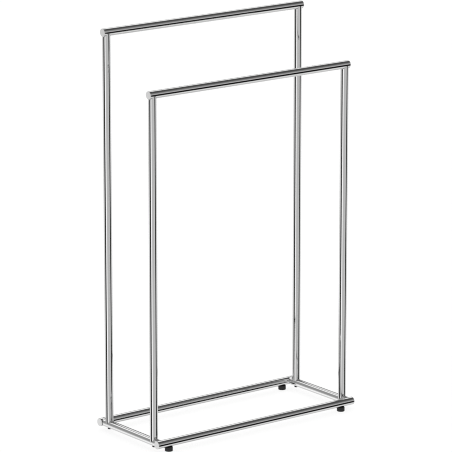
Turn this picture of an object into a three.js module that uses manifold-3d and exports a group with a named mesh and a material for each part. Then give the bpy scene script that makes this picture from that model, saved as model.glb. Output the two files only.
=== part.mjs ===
// A free-standing valet stand of round chromed tube. Two hoops, a tall one behind a lower one,
// stand on a flat tube base. Towels or clothes hang over the two top bars.
//
// Lengths are in millimetres. X runs along the bars, Y runs from front to rear and Z is up.
// The origin is on the floor, under the middle of the base.

import * as THREE from 'three';
import { mergeVertices } from 'three/addons/utils/BufferGeometryUtils.js';
import Module from 'manifold-3d';

const wasm = await Module();
wasm.setup();

// Driving dimensions

const TUBE_RADIUS = 8; // every tube is 16 mm round tube
const TUBE_WALL = 1.2;
const BAR_LENGTH = 500; // top bars and base rails, over their end caps
const UPRIGHT_X = 240.5; // uprights and side rails, either side of the middle
const UPRIGHT_Y = 75.5; // the two hoops, in front of and behind the middle
const BASE_RAIL_Y = 97; // long base rails, in front of and behind the middle
const BASE_Z = 16.7; // axis of all four base tubes
const REAR_HOOP_RISE = 802.5; // top bar's axis above the base tubes' axes
const FRONT_HOOP_RISE = 702.5;
const FOOT_X = 220; // rubber feet, under the long base rails
const FOOT_RADIUS = 8;
const CLEARANCE = 0.3; // between a piece and the neighbour that it rests on or is cut by

const CAP_FACE = 1.2; // thickness of an end cap outside the tube
const CAP_CHAMFER = 0.3;
const CAP_SPIGOT_LENGTH = 8;
const CAP_SPIGOT_WALL = 1.5;

const SCREW_RADIUS = 2; // M4 button head screws, 35 mm under the head
const SCREW_LENGTH = 35;
const SCREW_TIP_CHAMFER = 0.6;
const SCREW_HEAD_RADIUS = 3.8;
const SCREW_HEAD_HEIGHT = 2.2;
const SCREW_HEAD_RIM = 0.4; // height of the straight band round the head
const SCREW_HEAD_FLAT = 1.9; // radius of the flat in the middle of the head
const SOCKET_ACROSS_FLATS = 2.5;
const SOCKET_DEPTH = 1.3;
const INSERT_LENGTH = 20; // threaded plug inside the foot of an upright

const FOOT_EDGE = 0.8; // rounded lower edge
const STEM_RADIUS = 2.5; // the foot's push-in stem
const BARB_RADIUS = 3.3;
const BARB_TIP_RADIUS = 1.8;
const BARB_HEIGHT = 2.6;

const TUBE_SIDES = 24;
const SMALL_SIDES = 16;
const ARC_STEPS = 3;

// Worked out from the driving dimensions

const BORE_RADIUS = TUBE_RADIUS - TUBE_WALL;
const PLUG_RADIUS = BORE_RADIUS - CLEARANCE;
const TUBE_LENGTH = BAR_LENGTH - 2 * (CAP_FACE + CLEARANCE);
const SCREW_HOLE_RADIUS = SCREW_RADIUS + CLEARANCE;
const STEM_HOLE_RADIUS = STEM_RADIUS + CLEARANCE;
const FOOT_HEIGHT = BASE_Z - TUBE_RADIUS - CLEARANCE;
const BARB_BASE_Z = BASE_Z - Math.sqrt(BORE_RADIUS ** 2 - BARB_RADIUS ** 2) + CLEARANCE;

const SIDES = { left: -1, right: 1 };
const HOOPS = {
  rear: { side: 1, rise: REAR_HOOP_RISE },
  front: { side: -1, rise: FRONT_HOOP_RISE },
};

// Materials

const CHROME = { color: 0xd9dbde, metalness: 1, roughness: 0.06 };
const DARK_STEEL = { color: 0x2b2c2e, metalness: 0.9, roughness: 0.35 };
const ZINC_STEEL = { color: 0xa3a7ac, metalness: 1, roughness: 0.35 };
const RUBBER = { color: 0x17181a, metalness: 0, roughness: 0.75 };

// Geometry helpers

function lathe(profile, sides) {
  const points = profile.map(([radius, height]) => new THREE.Vector2(radius, height));
  return new THREE.LatheGeometry(points, sides).rotateX(Math.PI / 2);
}

function rod(radius, length, sides = TUBE_SIDES) {
  const half = length / 2;
  return lathe([[0, -half], [radius, -half], [radius, half], [0, half]], sides);
}

function tube(length) {
  const half = length / 2;
  const outline = [
    [TUBE_RADIUS, -half],
    [TUBE_RADIUS, half],
    [BORE_RADIUS, half],
    [BORE_RADIUS, -half],
    [TUBE_RADIUS, -half],
  ];
  return lathe(outline, TUBE_SIDES);
}

function alongX(geometry) {
  return geometry.rotateY(Math.PI / 2);
}

function alongY(geometry) {
  return geometry.rotateX(-Math.PI / 2);
}

function solid(geometry) {
  geometry.deleteAttribute('normal');
  geometry.deleteAttribute('uv');
  const merged = mergeVertices(geometry);
  const mesh = new wasm.Mesh({
    numProp: 3,
    vertProperties: new Float32Array(merged.attributes.position.array),
    triVerts: new Uint32Array(merged.index.array),
  });
  return new wasm.Manifold(mesh);
}

function cut(geometry, ...tools) {
  const result = tools.reduce((body, tool) => body.subtract(solid(tool)), solid(geometry));
  const mesh = result.getMesh();
  const shape = new THREE.BufferGeometry();
  shape.setAttribute('position', new THREE.BufferAttribute(new Float32Array(mesh.vertProperties), 3));
  shape.setIndex(new THREE.BufferAttribute(new Uint32Array(mesh.triVerts), 1));
  shape.computeVertexNormals();
  return shape;
}

// The space that a neighbouring tube takes out of a piece that butts against it
function saddle() {
  return rod(TUBE_RADIUS + CLEARANCE, 4 * TUBE_RADIUS);
}

// Pieces, each in its own frame

function topBar() {
  return alongX(tube(TUBE_LENGTH));
}

function baseRail() {
  const holes = Object.values(SIDES).map((side) => {
    const hole = rod(STEM_HOLE_RADIUS, TUBE_RADIUS, SMALL_SIDES);
    return hole.translate(side * FOOT_X, 0, -TUBE_RADIUS);
  });
  return cut(alongX(tube(TUBE_LENGTH)), ...holes);
}

function sideRail() {
  const ends = [-BASE_RAIL_Y, BASE_RAIL_Y].map((y) => alongX(saddle()).translate(0, y, 0));
  const holes = [-UPRIGHT_Y, UPRIGHT_Y].map((y) => {
    return rod(SCREW_HOLE_RADIUS, 4 * TUBE_RADIUS, SMALL_SIDES).translate(0, y, 0);
  });
  return cut(alongY(tube(2 * BASE_RAIL_Y)), ...ends, ...holes);
}

// Its own frame starts on the side rail's axis and ends on the top bar's axis
function upright(rise) {
  const body = tube(rise).translate(0, 0, rise / 2);
  return cut(body, alongY(saddle()), alongX(saddle()).translate(0, 0, rise));
}

// Faces +Z, with its spigot inside the tube below it
function endCap() {
  const hollow = PLUG_RADIUS - CAP_SPIGOT_WALL;
  const outline = [
    [0, 0],
    [hollow, 0],
    [hollow, -CAP_SPIGOT_LENGTH],
    [PLUG_RADIUS, -CAP_SPIGOT_LENGTH],
    [PLUG_RADIUS, 0],
    [TUBE_RADIUS, 0],
    [TUBE_RADIUS, CAP_FACE - CAP_CHAMFER],
    [TUBE_RADIUS - CAP_CHAMFER, CAP_FACE],
    [0, CAP_FACE],
  ];
  return lathe(outline, TUBE_SIDES);
}

function insert() {
  const outline = [
    [PLUG_RADIUS, 0],
    [PLUG_RADIUS, INSERT_LENGTH],
    [SCREW_HOLE_RADIUS, INSERT_LENGTH],
    [SCREW_HOLE_RADIUS, 0],
    [PLUG_RADIUS, 0],
  ];
  return lathe(outline, SMALL_SIDES);
}

// The face under the head is at z = 0 and the thread points up
function screw() {
  const domeHeight = SCREW_HEAD_HEIGHT - SCREW_HEAD_RIM;
  const domeWidth = SCREW_HEAD_RADIUS - SCREW_HEAD_FLAT;
  const outline = [[0, -SCREW_HEAD_HEIGHT]];
  for (let step = 0; step <= ARC_STEPS; step++) {
    const angle = (Math.PI / 2) * (step / ARC_STEPS);
    const radius = SCREW_HEAD_FLAT + domeWidth * Math.sin(angle);
    outline.push([radius, -SCREW_HEAD_RIM - domeHeight * Math.cos(angle)]);
  }
  outline.push(
    [SCREW_HEAD_RADIUS, 0],
    [SCREW_RADIUS, 0],
    [SCREW_RADIUS, SCREW_LENGTH - SCREW_TIP_CHAMFER],
    [SCREW_RADIUS - SCREW_TIP_CHAMFER, SCREW_LENGTH],
    [0, SCREW_LENGTH],
  );
  const socketRadius = SOCKET_ACROSS_FLATS / 2 / Math.cos(Math.PI / 6);
  const socket = rod(socketRadius, 2 * SOCKET_DEPTH, 6).translate(0, 0, -SCREW_HEAD_HEIGHT);
  return cut(lathe(outline, SMALL_SIDES), socket);
}

// Stands on z = 0, with its barbed stem pointing up
function foot() {
  const outline = [[0, 0]];
  for (let step = 0; step <= ARC_STEPS; step++) {
    const angle = (Math.PI / 2) * (step / ARC_STEPS);
    const radius = FOOT_RADIUS - FOOT_EDGE + FOOT_EDGE * Math.sin(angle);
    outline.push([radius, FOOT_EDGE - FOOT_EDGE * Math.cos(angle)]);
  }
  outline.push(
    [FOOT_RADIUS, FOOT_HEIGHT],
    [STEM_RADIUS, FOOT_HEIGHT],
    [STEM_RADIUS, BARB_BASE_Z],
    [BARB_RADIUS, BARB_BASE_Z],
    [BARB_TIP_RADIUS, BARB_BASE_Z + BARB_HEIGHT],
    [0, BARB_BASE_Z + BARB_HEIGHT],
  );
  return lathe(outline, SMALL_SIDES);
}

// Assembly

const stand = new THREE.Group();

function add(name, geometry, finish, x, y, z) {
  const mesh = new THREE.Mesh(geometry, new THREE.MeshStandardMaterial(finish));
  mesh.name = name;
  mesh.position.set(x, y, z);
  stand.add(mesh);
  return mesh;
}

function addBar(name, geometry, y, z) {
  add(name, geometry, CHROME, 0, y, z);
  for (const [sideName, side] of Object.entries(SIDES)) {
    const cap = add(`${name}_${sideName}_cap`, endCap(), CHROME, side * (BAR_LENGTH / 2 - CAP_FACE), y, z);
    cap.rotation.y = side * Math.PI / 2;
  }
}

for (const [hoopName, hoop] of Object.entries(HOOPS)) {
  addBar(`${hoopName}_top_bar`, topBar(), hoop.side * UPRIGHT_Y, BASE_Z + hoop.rise);
  addBar(`${hoopName}_base_rail`, baseRail(), hoop.side * BASE_RAIL_Y, BASE_Z);

  for (const [sideName, side] of Object.entries(SIDES)) {
    const corner = `${hoopName}_${sideName}`;
    const x = side * UPRIGHT_X;
    const y = hoop.side * UPRIGHT_Y;
    add(`${corner}_upright`, upright(hoop.rise), CHROME, x, y, BASE_Z);
    add(`${corner}_insert`, insert(), ZINC_STEEL, x, y, BASE_Z + TUBE_RADIUS + CLEARANCE);
    add(`${corner}_screw`, screw(), DARK_STEEL, x, y, BASE_Z - TUBE_RADIUS - CLEARANCE);
    add(`${corner}_foot`, foot(), RUBBER, side * FOOT_X, hoop.side * BASE_RAIL_Y, 0);
  }
}

for (const [sideName, side] of Object.entries(SIDES)) {
  add(`${sideName}_side_rail`, sideRail(), CHROME, side * UPRIGHT_X, 0, BASE_Z);
}

export default stand;
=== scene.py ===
"""Looks for the chromed valet stand: fine tubes, caps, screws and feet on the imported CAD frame."""
import math

import bmesh
import bpy
from mathutils import Matrix, Vector


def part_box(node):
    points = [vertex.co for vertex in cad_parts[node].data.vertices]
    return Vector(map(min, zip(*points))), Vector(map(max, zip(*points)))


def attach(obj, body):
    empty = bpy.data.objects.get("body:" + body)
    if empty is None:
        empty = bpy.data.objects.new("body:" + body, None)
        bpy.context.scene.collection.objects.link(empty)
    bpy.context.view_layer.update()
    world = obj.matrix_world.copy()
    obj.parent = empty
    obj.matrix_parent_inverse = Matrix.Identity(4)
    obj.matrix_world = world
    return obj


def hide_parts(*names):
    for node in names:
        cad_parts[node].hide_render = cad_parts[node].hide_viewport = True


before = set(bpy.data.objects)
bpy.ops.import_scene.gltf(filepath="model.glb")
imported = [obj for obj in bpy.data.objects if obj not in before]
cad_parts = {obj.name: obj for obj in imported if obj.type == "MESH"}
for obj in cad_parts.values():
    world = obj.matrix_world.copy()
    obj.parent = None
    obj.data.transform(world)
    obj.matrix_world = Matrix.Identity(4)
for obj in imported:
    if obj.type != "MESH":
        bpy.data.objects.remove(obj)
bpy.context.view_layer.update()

MM = 0.001

# Fine shape of the metalwork and the rubber

TUBE_SIDES = 96
SMALL_SIDES = 48
SMOOTH_ANGLE = 35  # degrees: a sharper edge than this stays sharp
SCREW_SMOOTH_ANGLE = 28

TUBE_WALL = 1.2 * MM
TUBE_END_ROUND = 0.15 * MM
WELD_RADIUS = 1.0 * MM
WELD_STEPS = 6
SEAT_GAP = 0.06 * MM  # between an upright's cut end and the side rail that it stands on
SEAT_ROUND = 0.25 * MM
HIDDEN_GAP = 0.1 * MM
STRAIGHT_MARGIN = 4 * MM  # between the last plain ring and the cut end's deepest point

CAP_FACE = 1.2 * MM
CAP_SEAM = 0.08 * MM
CAP_ROUND = 0.25 * MM
CAP_CORE = 1 * MM  # solid behind the face, before the spigot's hollow
SPIGOT_WALL = 1.5 * MM
SPIGOT_GAP = 0.05 * MM
SPIGOT_LEAD = 0.4 * MM
SPIGOT_LEAD_LENGTH = 0.6 * MM

HEAD_HEIGHT = 2.2 * MM  # M4 button head screws
HEAD_RIM = 0.4 * MM
HEAD_FLAT = 1.9 * MM
HEAD_EDGE = 0.12 * MM
HEAD_FILLET = 0.2 * MM
SOCKET_ACROSS_FLATS = 2.5 * MM
SOCKET_DEPTH = 1.3 * MM
SOCKET_POINT = 0.3 * MM  # the hollow that the drill leaves in the socket's floor
SOCKET_MOUTH = 1.07  # width of the socket's chamfered mouth, as a multiple of the socket's
THREAD_RADIUS = 2 * MM
THREAD_PITCH = 0.7 * MM
THREAD_DEPTH = 0.4 * MM
THREAD_START = 0.3 * MM
THREAD_RINGS = 4  # in each turn
THREAD_RUN_OUT = 0.6  # the depth at the thread's end, as a share of THREAD_DEPTH
TIP_LENGTH = 0.8 * MM
TIP_RADIUS = 1.3 * MM

STEM_RADIUS = 2.5 * MM
BARB_RADIUS = 3.3 * MM
BARB_TIP_RADIUS = 1.8 * MM
BARB_HEIGHT = 2.6 * MM
FOOT_LOWER_ROUND = 0.9 * MM
FOOT_UPPER_ROUND = 0.5 * MM

SIDES = ("left", "right")
HOOPS = ("rear", "front")


# Sizes read from the frame

def middle(node):
    low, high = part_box(node)
    return (low + high) / 2


def size(node):
    low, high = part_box(node)
    return high - low


TUBE_RADIUS = size("front_top_bar").z / 2
BORE_RADIUS = TUBE_RADIUS - TUBE_WALL


# Mesh helpers

def finish_mesh(name, bm, smooth_angle=SMOOTH_ANGLE):
    bmesh.ops.recalc_face_normals(bm, faces=bm.faces)
    mesh = bpy.data.meshes.new(name)
    bm.to_mesh(mesh)
    bm.free()
    mesh.shade_smooth()
    mesh.set_sharp_from_angle(angle=math.radians(smooth_angle))
    piece = bpy.data.objects.new(name, mesh)
    bpy.context.scene.collection.objects.link(piece)
    flatten = piece.modifiers.new("even_shading", "WEIGHTED_NORMAL")
    flatten.weight = 100
    flatten.keep_sharp = True
    return piece


def skin(bm, rings, closed=False, painted_shade_and_roughness=None):
    """Faces between rings of points, where a ring of one point is a pole. closed joins the last ring to the
    first. The last argument has a number from 0 to 1 for each ring. The chrome reads it as painted shade in a
    weld's corner, with rougher plate there."""
    # This layer weights the painted shade and the extra roughness in the weld corners
    layer = bm.verts.layers.float.new("painted_shade_and_roughness")
    made = [[bm.verts.new(point) for point in ring] for ring in rings]
    for ring, amount in zip(made, painted_shade_and_roughness or []):
        for vert in ring:
            vert[layer] = amount
    pairs = list(zip(made, made[1:]))
    if closed:
        pairs.append((made[-1], made[0]))
    for first, second in pairs:
        count = max(len(first), len(second))
        for i in range(count):
            j = (i + 1) % count
            near = [first[i % len(first)], first[j % len(first)]]
            far = [second[j % len(second)], second[i % len(second)]]
            bm.faces.new(list(dict.fromkeys(near + far)))


def turns(sides):
    """The angles of the points of a ring."""
    return [2 * math.pi * i / sides for i in range(sides)]


def round_point(radius, angle, height):
    return Vector((radius * math.cos(angle), radius * math.sin(angle), height))


def circle(radius, height, sides):
    if radius == 0:
        return [Vector((0, 0, height))]
    return [round_point(radius, a, height) for a in turns(sides)]


def arc(centre_radius, centre_height, bend, start, end, steps):
    """Points (radius, height) of a rounded edge, with its angles in degrees."""
    points = []
    for i in range(steps + 1):
        a = math.radians(start + (end - start) * i / steps)
        points.append((centre_radius + bend * math.cos(a), centre_height + bend * math.sin(a)))
    return points


def lathe_rings(profile, sides):
    return [circle(radius, height, sides) for radius, height in profile]


def placed(rings, matrix):
    return [[matrix @ point for point in ring] for ring in rings]


def axes(position, x_axis, y_axis, z_axis):
    """The matrix whose local axes are those directions, with its origin at position."""
    columns = [Vector(x_axis), Vector(y_axis), Vector(z_axis)]
    return Matrix.Translation(position) @ Matrix(columns).transposed().to_4x4()


UPWARDS = ((1, 0, 0), (0, 1, 0), (0, 0, 1))
TO_RIGHT = ((0, 1, 0), (0, 0, 1), (1, 0, 0))
TO_LEFT = ((0, 1, 0), (0, 0, -1), (-1, 0, 0))
TO_REAR = ((1, 0, 0), (0, 0, -1), (0, 1, 0))


def keep(piece, node, finish):
    """The piece stands for that CAD node, rides on the stand and takes the finish's material."""
    slot, paint = FINISHES[finish]
    piece.data.materials.append(paint)
    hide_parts(node)
    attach(piece, "root")
    return piece


# Materials: colours are linear, and a noise's scale is its number of grains in a metre

PLATE = ((0.69, 0.69, 0.69, 1), (0.715, 0.715, 0.715, 1))
# Painted shade: a near-black base colour that stands in for the shade in a weld's crease
CREASE_PAINTED_SHADE = (0.05, 0.05, 0.052, 1)
PLATE_EDGE_TINT = (0.75, 0.75, 0.75, 1)
WIPED_ROUGHNESS = (0.02, 0.06)
SCUFFED_ROUGHNESS = 0.1
THIN_ROUGHNESS = 0.25
WIPING_MARKS = 18
WAVES = 60
WAVE_DEPTH = 0.2 * MM
LINE_DEPTH = 0.02 * MM
ACROSS_LINES = 2400
ALONG_LINES = 12
CAP_GRAIN = 500

RUBBER = ((0.011, 0.011, 0.0115, 1), (0.022, 0.022, 0.0225, 1))
RUBBER_ROUGHNESS = (0.55, 0.72)
DUST = 220
RUBBER_GRAIN = 2600
RUBBER_GRAIN_DEPTH = 0.2 * MM

BLACK_OXIDE = ((0.03, 0.03, 0.032, 1), (0.06, 0.06, 0.064, 1))
BLACK_OXIDE_ROUGHNESS = (0.3, 0.42)
BLACK_OXIDE_MOTTLE = 500
ZINC = ((0.5, 0.51, 0.53, 1), (0.62, 0.63, 0.64, 1))
ZINC_ROUGHNESS = (0.25, 0.4)
ZINC_MOTTLE = 300
MOTTLE_DEPTH = 0.1 * MM


def material(name):
    """A new material, with its nodes, its links, its shader and the coordinates that its noise follows."""
    made = bpy.data.materials.new(name)
    made.use_nodes = True
    nodes = made.node_tree.nodes
    place = nodes.new("ShaderNodeTexCoord").outputs["Object"]
    return made, nodes, made.node_tree.links, nodes["Principled BSDF"], place


def noise(nodes, links, place, scale, detail, roughness=0.5, stretch=None):
    texture = nodes.new("ShaderNodeTexNoise")
    texture.inputs["Scale"].default_value = scale
    texture.inputs["Detail"].default_value = detail
    texture.inputs["Roughness"].default_value = roughness
    source = place
    if stretch:
        mapping = nodes.new("ShaderNodeMapping")
        mapping.inputs["Scale"].default_value = stretch
        links.new(place, mapping.inputs["Vector"])
        source = mapping.outputs["Vector"]
    links.new(source, texture.inputs["Vector"])
    return texture.outputs["Fac"]


def between(nodes, links, value, low, high, from_low=0.35, from_high=0.65):
    """low to high as the value goes from from_low to from_high, which are about the limits of a noise."""
    mapped = nodes.new("ShaderNodeMapRange")
    mapped.inputs["From Min"].default_value = from_low
    mapped.inputs["From Max"].default_value = from_high
    mapped.inputs["To Min"].default_value = low
    mapped.inputs["To Max"].default_value = high
    links.new(value, mapped.inputs["Value"])
    return mapped.outputs["Result"]


def mixed(nodes, links, factor, first, second):
    """A number or colour that goes from first, which may be a socket, to second."""
    mix = nodes.new("ShaderNodeMix")
    mix.data_type = "RGBA" if isinstance(second, tuple) else "FLOAT"
    links.new(factor, mix.inputs["Factor"])
    if isinstance(first, bpy.types.NodeSocket):
        links.new(first, mix.inputs["A"])
    else:
        mix.inputs["A"].default_value = first
    mix.inputs["B"].default_value = second
    return mix.outputs["Result"]


def bumped(nodes, links, height, strength, depth, under=None):
    """The normal of a surface that follows the height, over the normal of another bump."""
    bump = nodes.new("ShaderNodeBump")
    bump.inputs["Strength"].default_value = strength
    bump.inputs["Distance"].default_value = depth
    links.new(height, bump.inputs["Height"])
    if under:
        links.new(under, bump.inputs["Normal"])
    return bump.outputs["Normal"]


def chrome_material(name, grain):
    """Mirror-polished plate: wiping marks in its gloss, fine polishing lines along the tube, a trace of
    waviness, and painted shade in the corners of the welds, where the plate is also rougher. grain is the
    lines' scale on each axis."""
    made, nodes, links, shader, place = material(name)
    shader.inputs["Metallic"].default_value = 1
    shader.inputs["Specular Tint"].default_value = PLATE_EDGE_TINT

    attribute = nodes.new("ShaderNodeAttribute")
    attribute.attribute_name = "painted_shade_and_roughness"
    painted_shade_and_roughness = attribute.outputs["Fac"]
    wiped = noise(nodes, links, place, WIPING_MARKS, 4, 0.6)
    lines = noise(nodes, links, place, 1, 2, 0.5, grain)

    plate = mixed(nodes, links, wiped, *PLATE)
    # The base colour goes dark in the weld corners: painted shade in the crease
    links.new(mixed(nodes, links, painted_shade_and_roughness, plate, CREASE_PAINTED_SHADE), shader.inputs["Base Color"])

    polish = mixed(nodes, links, wiped, *WIPED_ROUGHNESS)
    deepest_lines = between(nodes, links, lines, 0, 1, 0.55, 0.75)
    scuffed = mixed(nodes, links, deepest_lines, polish, SCUFFED_ROUGHNESS)
    roughness = mixed(nodes, links, painted_shade_and_roughness, scuffed, THIN_ROUGHNESS)
    links.new(roughness, shader.inputs["Roughness"])

    waves = bumped(nodes, links, noise(nodes, links, place, WAVES, 1), 0.2, WAVE_DEPTH)
    links.new(bumped(nodes, links, lines, 0.06, LINE_DEPTH, waves), shader.inputs["Normal"])
    return made


def rubber_material():
    """Black moulded rubber with a fine matt grain and a little grey dust."""
    made, nodes, links, shader, place = material("moulded_rubber")
    shader.inputs["Specular IOR Level"].default_value = 0.35
    dust = noise(nodes, links, place, DUST, 4, 0.6)
    links.new(mixed(nodes, links, dust, *RUBBER), shader.inputs["Base Color"])
    links.new(between(nodes, links, dust, *RUBBER_ROUGHNESS), shader.inputs["Roughness"])
    grain = noise(nodes, links, place, RUBBER_GRAIN, 2)
    links.new(bumped(nodes, links, grain, 0.35, RUBBER_GRAIN_DEPTH), shader.inputs["Normal"])
    return made


def steel_material(name, colours, roughness, scale):
    """Plated or blackened steel with a fine mottle."""
    made, nodes, links, shader, place = material(name)
    shader.inputs["Metallic"].default_value = 1
    mottle = noise(nodes, links, place, scale, 4, 0.6)
    links.new(mixed(nodes, links, mottle, *colours), shader.inputs["Base Color"])
    links.new(between(nodes, links, mottle, *roughness), shader.inputs["Roughness"])
    grain = noise(nodes, links, place, 4 * scale, 2)
    links.new(bumped(nodes, links, grain, 0.2, MOTTLE_DEPTH), shader.inputs["Normal"])
    return made


LINES_ALONG_X = (ALONG_LINES, ACROSS_LINES, ACROSS_LINES)
LINES_ALONG_Y = (ACROSS_LINES, ALONG_LINES, ACROSS_LINES)
LINES_ALONG_Z = (ACROSS_LINES, ACROSS_LINES, ALONG_LINES)
black_oxide = steel_material("black_oxide_steel", BLACK_OXIDE, BLACK_OXIDE_ROUGHNESS, BLACK_OXIDE_MOTTLE)
zinc_plated = steel_material("zinc_plated_steel", ZINC, ZINC_ROUGHNESS, ZINC_MOTTLE)

# Each finish is a slot of the record and a material.
FINISHES = {
    "chrome_along_x": ("chrome", chrome_material("polished_chrome_along_x", LINES_ALONG_X)),
    "chrome_along_y": ("chrome", chrome_material("polished_chrome_along_y", LINES_ALONG_Y)),
    "chrome_along_z": ("chrome", chrome_material("polished_chrome_along_z", LINES_ALONG_Z)),
    "chrome_cap": ("chrome", chrome_material("polished_chrome_caps", (CAP_GRAIN, CAP_GRAIN, CAP_GRAIN))),
    "foot_rubber": ("foot_rubber", rubber_material()),
    "screw_steel": ("screw_steel", black_oxide),
    "zinc_steel": ("zinc_steel", zinc_plated),
}


# Tubes

def straight_tube(node):
    """A top bar or base rail along X, open at both ends for its caps."""
    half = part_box(f"{node}_right_cap")[1].x - CAP_FACE - CAP_SEAM - middle(node).x
    bend = TUBE_END_ROUND
    right = arc(TUBE_RADIUS - bend, half - bend, bend, 0, 90, 3)
    left = [(radius, -height) for radius, height in reversed(right)]
    profile = left + right + [(BORE_RADIUS, half), (BORE_RADIUS, -half)]
    bm = bmesh.new()
    skin(bm, placed(lathe_rings(profile, TUBE_SIDES), axes(middle(node), *TO_RIGHT)), closed=True)
    return keep(finish_mesh(f"{node}_tube", bm), node, "chrome_along_x")


# A cut tube's end is a list of rings, each with its weight of painted shade and roughness, from plain tube
# out to the cut edge, then the edge of the bore. Local Z points out of the tube, and the neighbour that it
# meets lies along local X.

def angles(quarter_turns=0, direction=1):
    return [math.pi / 2 * quarter_turns + direction * a for a in turns(TUBE_SIDES)]


def saddle_depth(reach, across):
    """How far below its axis a round surface lies, at a distance across from the middle."""
    return math.sqrt(reach ** 2 - across ** 2)


def plain_ring(around):
    return [round_point(TUBE_RADIUS, a, -TUBE_RADIUS - STRAIGHT_MARGIN) for a in around]


def bore_ring(around, clear):
    """Where the bore's wall ends, just short of the neighbour."""
    reach = TUBE_RADIUS + clear
    depths = [saddle_depth(reach, BORE_RADIUS * math.sin(a)) for a in around]
    return [round_point(BORE_RADIUS, a, -depth) for a, depth in zip(around, depths)]


def weld_points(a):
    """The two toes of the weld at angle a, with the corner between them. The weld is WELD_RADIUS wide where
    the two surfaces stand square, and dies out at the sides, where they run into each other."""
    side = 0 if abs(math.cos(a)) < 1e-9 else math.copysign(1, math.cos(a))
    sine = max(-1, min(1, math.sin(a)))
    width = WELD_RADIUS * math.tan(math.acos(sine * sine) / 2)
    slope = math.sqrt(1 + sine * sine)
    turn = width * sine / (TUBE_RADIUS * slope)
    corner = round_point(TUBE_RADIUS, a, -TUBE_RADIUS * abs(math.cos(a)))
    on_tube = round_point(TUBE_RADIUS, a + turn * side, corner.z - width / slope)
    around = math.asin(sine) + turn
    reach = corner.x + side * width / slope
    on_neighbour = Vector((reach, TUBE_RADIUS * math.sin(around), -TUBE_RADIUS * math.cos(around)))
    return on_tube, corner, on_neighbour


def welded_end(around):
    """An end cut to fit its neighbour and faired into it by a weld, with painted shade and rougher plating in
    its corner.
    """
    toes = [weld_points(a) for a in around]
    rings = [(plain_ring(around), 0)]
    for step in range(WELD_STEPS + 1):
        t = step / WELD_STEPS
        start, bend, end = (1 - t) ** 2, 2 * t * (1 - t), t * t
        ring = [start * first + bend * corner + end * last for first, corner, last in toes]
        # 2 * bend peaks in the weld's corner, where it paints shade and roughens the plate
        rings.append((ring, 2 * bend))
    return rings + [(bore_ring(around, HIDDEN_GAP), 0)]


def seated_end(around):
    """An end cut to stand on its neighbour, with its edge rounded."""
    rings = [(plain_ring(around), 0)]
    reach = TUBE_RADIUS + SEAT_GAP
    for x in (0, 0.3, 0.7, 1):
        radius = TUBE_RADIUS - SEAT_ROUND * (1 - math.sqrt(1 - x * x))
        lift = SEAT_ROUND * (1 - x)
        depths = [saddle_depth(reach, radius * math.sin(a)) + lift for a in around]
        rings.append(([round_point(radius, a, -depth) for a, depth in zip(around, depths)], 0))
    return rings + [(bore_ring(around, SEAT_GAP), 0)]


def cut_tube(node, finish, start, start_matrix, end, end_matrix):
    """A tube between two cut ends, whose rings run the same way round."""
    first = [(placed([ring], start_matrix)[0], shade_and_rough_weight) for ring, shade_and_rough_weight in start]
    last = [(placed([ring], end_matrix)[0], shade_and_rough_weight) for ring, shade_and_rough_weight in end]
    rings = [*reversed(first[:-1]), *last, first[-1]]
    bm = bmesh.new()
    points, painted_shade_and_roughness = zip(*rings)
    skin(bm, points, closed=True, painted_shade_and_roughness=painted_shade_and_roughness)
    return keep(finish_mesh(f"{node}_tube", bm), node, finish)


def upright(corner, hoop):
    node = f"{corner}_upright"
    place = middle(node)
    bottom = axes((place.x, place.y, middle("left_side_rail").z), (0, 1, 0), (1, 0, 0), (0, 0, -1))
    top = axes((place.x, place.y, middle(f"{hoop}_top_bar").z), *UPWARDS)
    return cut_tube(node, "chrome_along_z", seated_end(angles(1, -1)), bottom, welded_end(angles()), top)


def side_rail(side):
    node = f"{side}_side_rail"
    place = middle(node)
    front = axes((place.x, middle("front_base_rail").y, place.z), (1, 0, 0), (0, 0, 1), (0, -1, 0))
    rear = axes((place.x, middle("rear_base_rail").y, place.z), *TO_REAR)
    return cut_tube(node, "chrome_along_y", welded_end(angles()), front, welded_end(angles(0, -1)), rear)


# End caps, screws and feet

def end_cap(bar, side):
    """A flat disc with a rounded rim, on a hollow spigot that fits the bore."""
    node = f"{bar}_{side}_cap"
    low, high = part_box(node)
    face = high.x if side == "right" else low.x
    outwards = TO_RIGHT if side == "right" else TO_LEFT
    matrix = axes((face, middle(node).y, middle(node).z), *outwards)
    spigot = BORE_RADIUS - SPIGOT_GAP
    length = size(node).x
    profile = [
        (0, -CAP_FACE - CAP_CORE),
        (spigot - SPIGOT_WALL, -CAP_FACE - CAP_CORE),
        (spigot - SPIGOT_WALL, -length),
        (spigot - SPIGOT_LEAD, -length),
        (spigot, -length + SPIGOT_LEAD_LENGTH),
        (spigot, -CAP_FACE),
        (TUBE_RADIUS - TUBE_END_ROUND, -CAP_FACE),
        (TUBE_RADIUS, -CAP_FACE + TUBE_END_ROUND),
        *arc(TUBE_RADIUS - CAP_ROUND, -CAP_ROUND, CAP_ROUND, 0, 90, 5),
        (0, 0),
    ]
    bm = bmesh.new()
    skin(bm, placed(lathe_rings(profile, TUBE_SIDES), matrix))
    return keep(finish_mesh(f"{node}_disc", bm), node, "chrome_cap")


def hex_ring(radius, height):
    """A hexagon with as many points as the rings round it."""
    points = []
    for a in turns(SMALL_SIDES):
        off = (a % (math.pi / 3)) - math.pi / 6
        points.append(round_point(radius * math.cos(math.pi / 6) / math.cos(off), a, height))
    return points


def thread_rings(start, end):
    """Rings whose radius follows a screw thread, so that they make a helix that runs out at the tip."""
    count = int((end - start) / THREAD_PITCH * THREAD_RINGS)
    rings = []
    for step in range(count + 1):
        height = start + (end - start) * step / count
        fade = min(1, (end - height) / THREAD_PITCH)
        ring = []
        for a in turns(SMALL_SIDES):
            phase = (height / THREAD_PITCH - a / (2 * math.pi)) % 1
            valley = abs(2 * phase - 1)
            depth = THREAD_DEPTH * (valley * fade + THREAD_RUN_OUT * (1 - fade))
            ring.append(round_point(THREAD_RADIUS - depth, a, height))
        rings.append(ring)
    return rings


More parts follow.
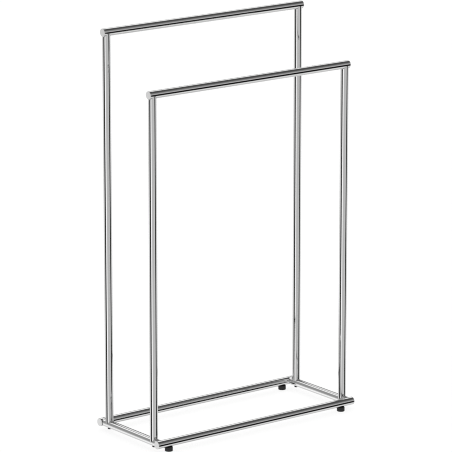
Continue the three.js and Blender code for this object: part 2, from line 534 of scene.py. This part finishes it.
def screw(corner):
    """A button head screw with a hexagon socket, its thread pointing up into the insert."""
    node = f"{corner}_screw"
    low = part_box(node)[0]
    head_radius = size(node).x / 2
    tip = size(node).z - HEAD_HEIGHT
    floor_height = SOCKET_DEPTH - HEAD_HEIGHT
    hexagon = SOCKET_ACROSS_FLATS / 2 / math.cos(math.pi / 6)
    dome_width = head_radius - HEAD_FLAT
    dome_height = HEAD_HEIGHT - HEAD_RIM
    quarter = arc(0, 0, 1, -90, 0, 10)
    dome = [(HEAD_FLAT + x * dome_width, -HEAD_RIM + z * dome_height) for x, z in quarter]
    seat = [(head_radius, -HEAD_EDGE), (head_radius - HEAD_EDGE, 0), (THREAD_RADIUS + HEAD_FILLET, 0)]
    rings = [
        [Vector((0, 0, floor_height + SOCKET_POINT))],
        hex_ring(0.6 * hexagon, floor_height + SOCKET_POINT / 2),
        hex_ring(hexagon, floor_height),
        hex_ring(hexagon, HEAD_EDGE - HEAD_HEIGHT),
        hex_ring(SOCKET_MOUTH * hexagon, -HEAD_HEIGHT),
        *lathe_rings(dome, SMALL_SIDES),
        *lathe_rings(seat, SMALL_SIDES),
        *thread_rings(THREAD_START, tip - TIP_LENGTH),
        *lathe_rings([(TIP_RADIUS, tip), (0, tip)], SMALL_SIDES),
    ]
    bm = bmesh.new()
    skin(bm, placed(rings, axes((middle(node).x, middle(node).y, low.z + HEAD_HEIGHT), *UPWARDS)))
    piece = finish_mesh(f"{node}_button_head", bm, SCREW_SMOOTH_ANGLE)
    return keep(piece, node, "screw_steel")


def foot(corner, hoop):
    """A push-in rubber foot: a plain drum with rounded edges and a barbed stem in the rail above."""
    node = f"{corner}_foot"
    low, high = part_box(node)
    radius = size(node).x / 2
    top = middle(f"{hoop}_base_rail").z - TUBE_RADIUS - HIDDEN_GAP
    barb_base = high.z - BARB_HEIGHT
    profile = [
        (0, 0),
        *arc(radius - FOOT_LOWER_ROUND, FOOT_LOWER_ROUND, FOOT_LOWER_ROUND, -90, 0, 8),
        *arc(radius - FOOT_UPPER_ROUND, top - FOOT_UPPER_ROUND, FOOT_UPPER_ROUND, 0, 90, 6),
        (STEM_RADIUS, top),
        (STEM_RADIUS, barb_base),
        (BARB_RADIUS, barb_base),
        (BARB_TIP_RADIUS, high.z),
        (0, high.z),
    ]
    matrix = axes((middle(node).x, middle(node).y, low.z), *UPWARDS)
    bm = bmesh.new()
    skin(bm, placed(lathe_rings(profile, TUBE_SIDES), matrix))
    return keep(finish_mesh(f"{node}_drum", bm), node, "foot_rubber")


for hoop in HOOPS:
    for bar in (f"{hoop}_top_bar", f"{hoop}_base_rail"):
        straight_tube(bar)
        for side in SIDES:
            end_cap(bar, side)
    for side in SIDES:
        corner = f"{hoop}_{side}"
        upright(corner, hoop)
        screw(corner)
        foot(corner, hoop)
        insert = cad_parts[f"{corner}_insert"]
        insert.data.materials.clear()
        insert.data.materials.append(FINISHES["zinc_steel"][1])

for side in SIDES:
    side_rail(side)


# Studio

FLOOR_RADIUS = 25
FLOOR_DROP = 0.2 * MM
BACKDROP = 1.02  # what the camera sees behind the stand, just past white


def camera():
    """The camera stands front left, a little above the top bars, with a long lens."""
    data = bpy.data.cameras.new("camera")
    data.sensor_width = 36
    data.lens = 281.05
    data.clip_end = 60
    made = bpy.data.objects.new("camera", data)
    made.location = (-4.1947, -5.4556, 2.1373)
    heading = math.radians(37.538)
    tilt = math.radians(14.121)
    made.rotation_euler = (math.pi / 2 - tilt, 0, -heading)
    bpy.context.scene.collection.objects.link(made)
    bpy.context.scene.camera = made


def floor():
    """A pale, faintly luminous floor, which the chrome doesn't mirror."""
    bm = bmesh.new()
    bm.faces.new([bm.verts.new(point) for point in circle(FLOOR_RADIUS, -FLOOR_DROP, 64)])
    made = finish_mesh("floor", bm)
    paint = bpy.data.materials.new("pale_floor")
    paint.use_nodes = True
    shader = paint.node_tree.nodes["Principled BSDF"]
    shader.inputs["Base Color"].default_value = (0.12, 0.12, 0.12, 1)
    shader.inputs["Roughness"].default_value = 0.9
    shader.inputs["Emission Color"].default_value = (1, 1, 1, 1)
    shader.inputs["Emission Strength"].default_value = 0.85
    made.data.materials.append(paint)
    made.visible_glossy = False


def sun():
    data = bpy.data.lights.new("overhead_light", "SUN")
    data.energy = 3
    data.angle = math.radians(100)
    made = bpy.data.objects.new("overhead_light", data)
    made.visible_glossy = False  # so that no hot spot shows in the chrome
    bpy.context.scene.collection.objects.link(made)


# Cards and flags far off round the stand, which only the chrome mirrors: azimuth from the front towards the
# right, elevation, half width, half height and softness of the edge, in degrees, and brightness. Each covers
# what stands before it in the list.
WALLS = 1.0
CARDS = [
    ("ceiling edge", 0, 45, 180, 16, 9, 0.3),
    ("ceiling", 0, 82, 180, 26, 7, 0.07),
    ("front wall", -35, -2, 40, 23, 4, 0.66),
    ("floor right", 80, -62, 65, 10, 4, 0.55),
    ("overhead right", 70, 40, 55, 24, 4, 0.09),
    ("right glow", 27, 16, 17, 28, 25, 0.54),
    ("right flag", 43, -14, 20.5, 19, 4, 0.008),
    ("left flag", -111, -7, 25, 15, 4, 0.03),
    ("bright strip", -75, -13, 12, 30, 4, 1.4),
    ("back strip", 133, 27, 10, 28, 4, 1.4),
    ("back top light", -166, 42, 40, 11.5, 5, 1.4),
    ("floor left", -147, -34, 10, 10.5, 4, 1.4),
    ("left back wall", -155, 20, 33, 28, 9, 0.4),
    ("back flag", 143, 0, 22, 18, 4, 0.03),
    ("left back light", -165, 34, 9, 10, 4, 1.4),
]


def studio():
    """A white room with the cards in it. The camera sees none of them, only the plain backdrop."""
    world = bpy.data.worlds.new("studio")
    bpy.context.scene.world = world
    world.use_nodes = True
    nodes = world.node_tree.nodes
    links = world.node_tree.links
    direction = nodes.new("ShaderNodeTexCoord").outputs["Generated"]
    parts = nodes.new("ShaderNodeSeparateXYZ")
    links.new(direction, parts.inputs["Vector"])

    def maths(operation, *values):
        node = nodes.new("ShaderNodeMath")
        node.operation = operation
        for socket, value in zip(node.inputs, values):
            if isinstance(value, (int, float)):
                socket.default_value = value
            else:
                links.new(value, socket)
        return node.outputs["Value"]

    elevation = maths("DEGREES", maths("ARCSINE", parts.outputs["Z"]))
    forwards = maths("MULTIPLY", parts.outputs["Y"], -1)
    azimuth = maths("DEGREES", maths("ARCTAN2", parts.outputs["X"], forwards))

    def inside(distance, half, soft):
        node = nodes.new("ShaderNodeMapRange")
        node.interpolation_type = "SMOOTHSTEP"
        node.inputs["From Min"].default_value = half + soft
        node.inputs["From Max"].default_value = half - soft
        links.new(distance, node.inputs["Value"])
        return node.outputs["Result"]

    light = WALLS
    for _, at_azimuth, at_elevation, half_width, half_height, soft, brightness in CARDS:
        across = maths("ABSOLUTE", maths("WRAP", maths("SUBTRACT", azimuth, at_azimuth), 180, -180))
        up = maths("ABSOLUTE", maths("SUBTRACT", elevation, at_elevation))
        card = maths("MULTIPLY", inside(across, half_width, soft), inside(up, half_height, soft))
        light = maths("ADD", light, maths("MULTIPLY", card, maths("SUBTRACT", brightness, light)))
    seen = nodes.new("ShaderNodeLightPath").outputs["Is Camera Ray"]
    light = maths("ADD", light, maths("MULTIPLY", seen, maths("SUBTRACT", BACKDROP, light)))
    links.new(light, nodes["Background"].inputs["Color"])


camera()
floor()
sun()
studio()
bpy.context.scene.view_settings.view_transform = "Standard"
bpy.context.scene.cycles.filter_width = 1.1
